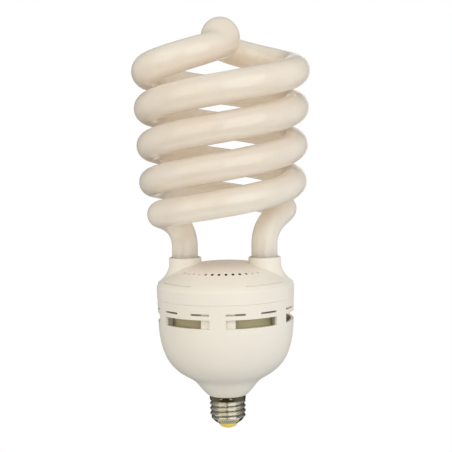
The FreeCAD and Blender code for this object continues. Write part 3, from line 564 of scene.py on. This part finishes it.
heights = np.concatenate([np.linspace(SHELL_HEIGHTS[0], THREAD_FOOT, TAPER_RINGS, endpoint=False),
                          np.linspace(THREAD_FOOT, SHELL_HEIGHTS[-1], THREAD_RINGS)])
height, turn = np.meshgrid(heights, ring_turns(SHELL_SIDES), indexing="ij")
radius = threaded_radius(turn, height) - punch_marks(turn, height)
outer_skin = on_axis(radius, turn, height)
inner_skin = on_axis(radius - SHELL_WALL, turn, height)[::-1]
shell_rings = np.concatenate([outer_skin, inner_skin, outer_skin[:1]]) * MM
shell = skin("threaded_shell", shell_rings, close_ends=False)
dress(shell, "screw_shell", plated)

# %% [markdown]
# ## Foot of the cap
# The insulator under the shell is a coloured moulding, here a warm yellow, and the centre contact is a flat
# tinned disc. The insulator could keep its CAD form, but the real one is a little fuller towards its rim, so
# that profile is turned round the axis in its place. The contact keeps its form, and shares its tinned finish
# with the posts and wires inside the housing.

# %% Foot of the cap
FOOT_HEIGHTS = (0.5, 0.5, 0.7, 2.0, 3.3, 4.3, 4.5, 4.5)
FOOT_RADII = (2.0, 5.1, 5.4, 6.6, 7.5, 7.8, 7.6, 2.0)
FOOT_SIDES = 96
FOUR_OF_EACH = range(1, 5)
YELLOW_SHADE, YELLOW_LIGHT, YELLOW_CLOUDS = linear(255, 220, 74), linear(255, 228, 98), 160
TINNED_SHADE, TINNED_LIGHT, TINNED_CLOUDS = linear(188, 184, 172), linear(208, 204, 192), 420

yellow, shader = finish_for("yellow_insulator", 0.34)
clouds = drift(yellow, noise(yellow, YELLOW_CLOUDS, detail=2), YELLOW_SHADE, YELLOW_LIGHT)
tint(yellow, shader, clouds)
foot_rings = on_axis(np.array(FOOT_RADII)[:, None], ring_turns(FOOT_SIDES), np.array(FOOT_HEIGHTS)[:, None])
foot = skin("yellow_foot", np.concatenate([foot_rings, foot_rings[:1]]) * MM, close_ends=False)
dress(foot, "cap_insulator", yellow)

tinned, shader = finish_for("tinned_contact", 0.38, metallic=1.0)
clouds = drift(tinned, noise(tinned, TINNED_CLOUDS, detail=3), TINNED_SHADE, TINNED_LIGHT)
tint(tinned, shader, clouds)
tinned_nodes = ["centre_contact"]
for i in FOUR_OF_EACH:
    tinned_nodes += [f"wrap_post_{i}", f"electrode_wire_{i}"]
finish_nodes(tinned, tinned_nodes)

# %% [markdown]
# ## Pieces behind the windows
# Through the vent windows shows the plain sleeve of pressed board that stands round the components, in the
# shade of the bowl. The pieces inside it are hidden, but the bulb is looked at from every side, so each has
# a finish of its own kind: shrunk sleeve, varnished copper, grey ferrite, dark moulding.

# %% Pieces behind the windows
FINER, INNER_RELIEF = 6, 0.08


def inner_finish(name, first, second, roughness, scale, nodes, metallic=0.0):
    """One drifting finish with a fine grain on a list of CAD nodes."""
    material, shader = finish_for(name, roughness, metallic=metallic)
    clouds = drift(material, noise(material, scale, detail=3), linear(*first), linear(*second))
    tint(material, shader, clouds)
    grain(material, shader, noise(material, scale * FINER, detail=2), INNER_RELIEF, GRAIN_DEPTH)
    finish_nodes(material, nodes)


inner_finish("white_cement", (226, 222, 210), (236, 232, 222), 0.8, 300,
             ["tube_cement_left", "tube_cement_right"])
inner_finish("pressed_board", (206, 195, 154), (214, 204, 164), 0.8, 120, ["insulating_sleeve"])
inner_finish("board_laminate", (176, 160, 116), (188, 172, 128), 0.6, 120, ["circuit_board"])
inner_finish("can_sleeve", (150, 144, 116), (160, 154, 126), 0.4, 90,
             ["bulk_capacitor_left", "bulk_capacitor_right"])
inner_finish("film_block", (170, 156, 118), (180, 166, 128), 0.4, 90,
             ["resonant_capacitor", "filter_capacitor"])
inner_finish("ferrite", (58, 58, 58), (70, 70, 70), 0.7, 400,
             ["choke_core", "filter_choke_core", "drive_ring_core"])
inner_finish("bobbin_plastic", (196, 190, 172), (206, 200, 182), 0.5, 120, ["choke_bobbin"])
inner_finish("varnished_copper", (150, 84, 48), (176, 102, 60), 0.3, 500,
             ["choke_winding", "filter_choke_winding", "drive_ring_windings"], metallic=1.0)
dark_nodes = ["power_transistor_first", "power_transistor_second"]
dark_nodes += [f"rectifier_diode_{i}" for i in FOUR_OF_EACH]
inner_finish("dark_moulding", (34, 34, 34), (42, 42, 42), 0.55, 200, dark_nodes)
inner_finish("resistor_body", (170, 146, 104), (180, 156, 114), 0.55, 200, ["fuse_resistor"])
inner_finish("thermistor_disc", (62, 84, 66), (72, 94, 76), 0.5, 200, ["start_thermistor"])
inner_finish("wire_insulation", (216, 212, 202), (226, 222, 212), 0.5, 150, ["contact_wire", "shell_wire"])

# %% [markdown]
# ## Floor
# The bulb is pictured on plain white, as a lamp that hangs in a holder, so the floor lies well below it. The
# floor is a disc that catches the bulb's shadow. To the camera and to reflections it fades into the white
# around it, which a mix with plain white does: the share of white grows with the distance from the middle.

# %% Floor
FLOOR_HEIGHT, FLOOR_REACH, FLOOR_SIDES = -0.30, 0.3, 96
FLOOR_GREY = (0.45, 0.45, 0.45, 1)
WHITE_EDGE, WHITE_SHARES = (FLOOR_REACH * 0.3, FLOOR_REACH * 0.95), (0.6, 1.0)

rim = on_axis(FLOOR_REACH, ring_turns(FLOOR_SIDES), FLOOR_HEIGHT)
floor_mesh = bpy.data.meshes.new("floor")
floor_mesh.from_pydata(rim.tolist(), [], [list(range(FLOOR_SIDES))])
floor = bpy.data.objects.new("floor", floor_mesh)
bpy.context.collection.objects.link(floor)

floor_paint, shader = finish_for("pale_floor", 0.9)
shader.inputs["Base Color"].default_value = FLOOR_GREY
tree = floor_paint.node_tree
x, y = place_in(tree, "Object")[:2]
whiter = fade(tree, distance(tree, x, y), WHITE_EDGE, WHITE_SHARES)
rays = tree.nodes.new("ShaderNodeLightPath").outputs
seen = figure(tree, "MAXIMUM", rays["Is Camera Ray"], rays["Is Glossy Ray"])
seen = figure(tree, "MAXIMUM", seen, rays["Is Transmission Ray"])
white = tree.nodes.new("ShaderNodeEmission")
blend = tree.nodes.new("ShaderNodeMixShader")
tree.links.new(product(tree, seen, whiter), blend.inputs["Fac"])
tree.links.new(shader.outputs["BSDF"], blend.inputs[1])
tree.links.new(white.outputs["Emission"], blend.inputs[2])
tree.links.new(blend.outputs["Shader"], tree.nodes["Material Output"].inputs["Surface"])
floor.data.materials.append(floor_paint)
print(f"floor {2 * FLOOR_REACH} m across, {-FLOOR_HEIGHT} m below the bulb")

# %% [markdown]
# ## World
# The world is white to the camera. As a light it is a soft grey, stronger from behind and from the right,
# weaker from above. What reflections see is a third thing: a dim room in front and overhead, a little lighter
# at its sides, with the white backdrop straight behind and below. One plain colour would be simpler, and
# satin plastic hardly shows the difference, but polished metal and glossy glass need something dark to
# mirror, or they look like chalk.

# %% World
AMBIENT = (0.64, 0.85)
FRONT_TO_BACK, LEFT_TO_RIGHT = (-0.9, 0.7), (-0.8, 0.8)
LOW_EDGE, LOW_SHARES = (-0.6, 0.1), (0.95, 1.0)
HIGH_EDGE, HIGH_SHARES = (0.2, 0.9), (1.0, 0.70)
SIDE_SHARES = (0.91, 1.09)
BACKDROP_EDGE, BELOW_EDGE = (0.92, 1.0), (-0.85, -0.7)
ROOM_EDGE, ROOM_SHARES = (0.45, 0.9), (1.0, 0.68)
ROOM_DARK = 0.07

world = bpy.data.worlds.new("studio")
bpy.context.scene.world = world
world.use_nodes = True
tree = world.node_tree
x, y, z = place_in(tree, "Generated")
ambient = product(tree,
                  fade(tree, y, FRONT_TO_BACK, AMBIENT),
                  fade(tree, z, LOW_EDGE, LOW_SHARES),
                  fade(tree, z, HIGH_EDGE, HIGH_SHARES),
                  fade(tree, x, LEFT_TO_RIGHT, SIDE_SHARES))
room = product(tree,
               fade(tree, y, BACKDROP_EDGE, (1.0, 0.0)),
               fade(tree, z, BELOW_EDGE, (0.0, 1.0)),
               fade(tree, figure(tree, "ABSOLUTE", x), ROOM_EDGE, ROOM_SHARES))
rays = tree.nodes.new("ShaderNodeLightPath").outputs
lit = tree.nodes.new("ShaderNodeMix")
tree.links.new(rays["Is Glossy Ray"], lit.inputs["Factor"])
tree.links.new(ambient, lit.inputs["A"])
tree.links.new(fade(tree, room, (0.0, 1.0), (1.0, ROOM_DARK)), lit.inputs["B"])
seen = figure(tree, "MAXIMUM", rays["Is Camera Ray"], rays["Is Transmission Ray"])
background = tree.nodes["Background"]
background.inputs["Color"].default_value = (1, 1, 1, 1)
tree.links.new(figure(tree, "MAXIMUM", lit.outputs["Result"], seen), background.inputs["Strength"])
print(f"ambient {AMBIENT[0]} in front, {AMBIENT[1]} behind")

# %% [markdown]
# ## Lamps
# Two tall softboxes stand in front of the bulb, one at each side and a little above it. One lamp overhead
# would light the form too, but this pair gives every turn of the tube two long reflections, and the cap two
# bright stripes with a dark line between them. The right one is stronger and neutral, the left one warmer.

# %% Lamps
LAMP_TARGET = Vector((0, 0, 0.17))
LAMP_DISTANCE, LAMP_HEIGHT = 1.5, 1.9
LAMP_ELEVATION = math.radians(22)


def softbox(name, azimuth, width, power, colour):
    """A tall soft lamp aimed at the bulb; azimuth 0 is in front of it, 90 degrees at its right."""
    aside = math.radians(azimuth)
    out = Vector((math.sin(aside) * math.cos(LAMP_ELEVATION),
                  -math.cos(aside) * math.cos(LAMP_ELEVATION),
                  math.sin(LAMP_ELEVATION)))
    lamp = bpy.data.lights.new(name, "AREA")
    lamp.shape = "RECTANGLE"
    lamp.size = width
    lamp.size_y = LAMP_HEIGHT
    lamp.energy = power
    lamp.color = colour
    holder = bpy.data.objects.new(name, lamp)
    holder.location = LAMP_TARGET + out * LAMP_DISTANCE
    holder.rotation_euler = out.to_track_quat("Z", "Y").to_euler()
    bpy.context.collection.objects.link(holder)
    print(f"{name}: {power} W")


softbox("right_box", azimuth=34, width=1.5, power=10.0, colour=(1.0, 1.0, 1.0))
softbox("left_box", azimuth=-36, width=1.4, power=7.2, colour=(1.0, 0.93, 0.80))
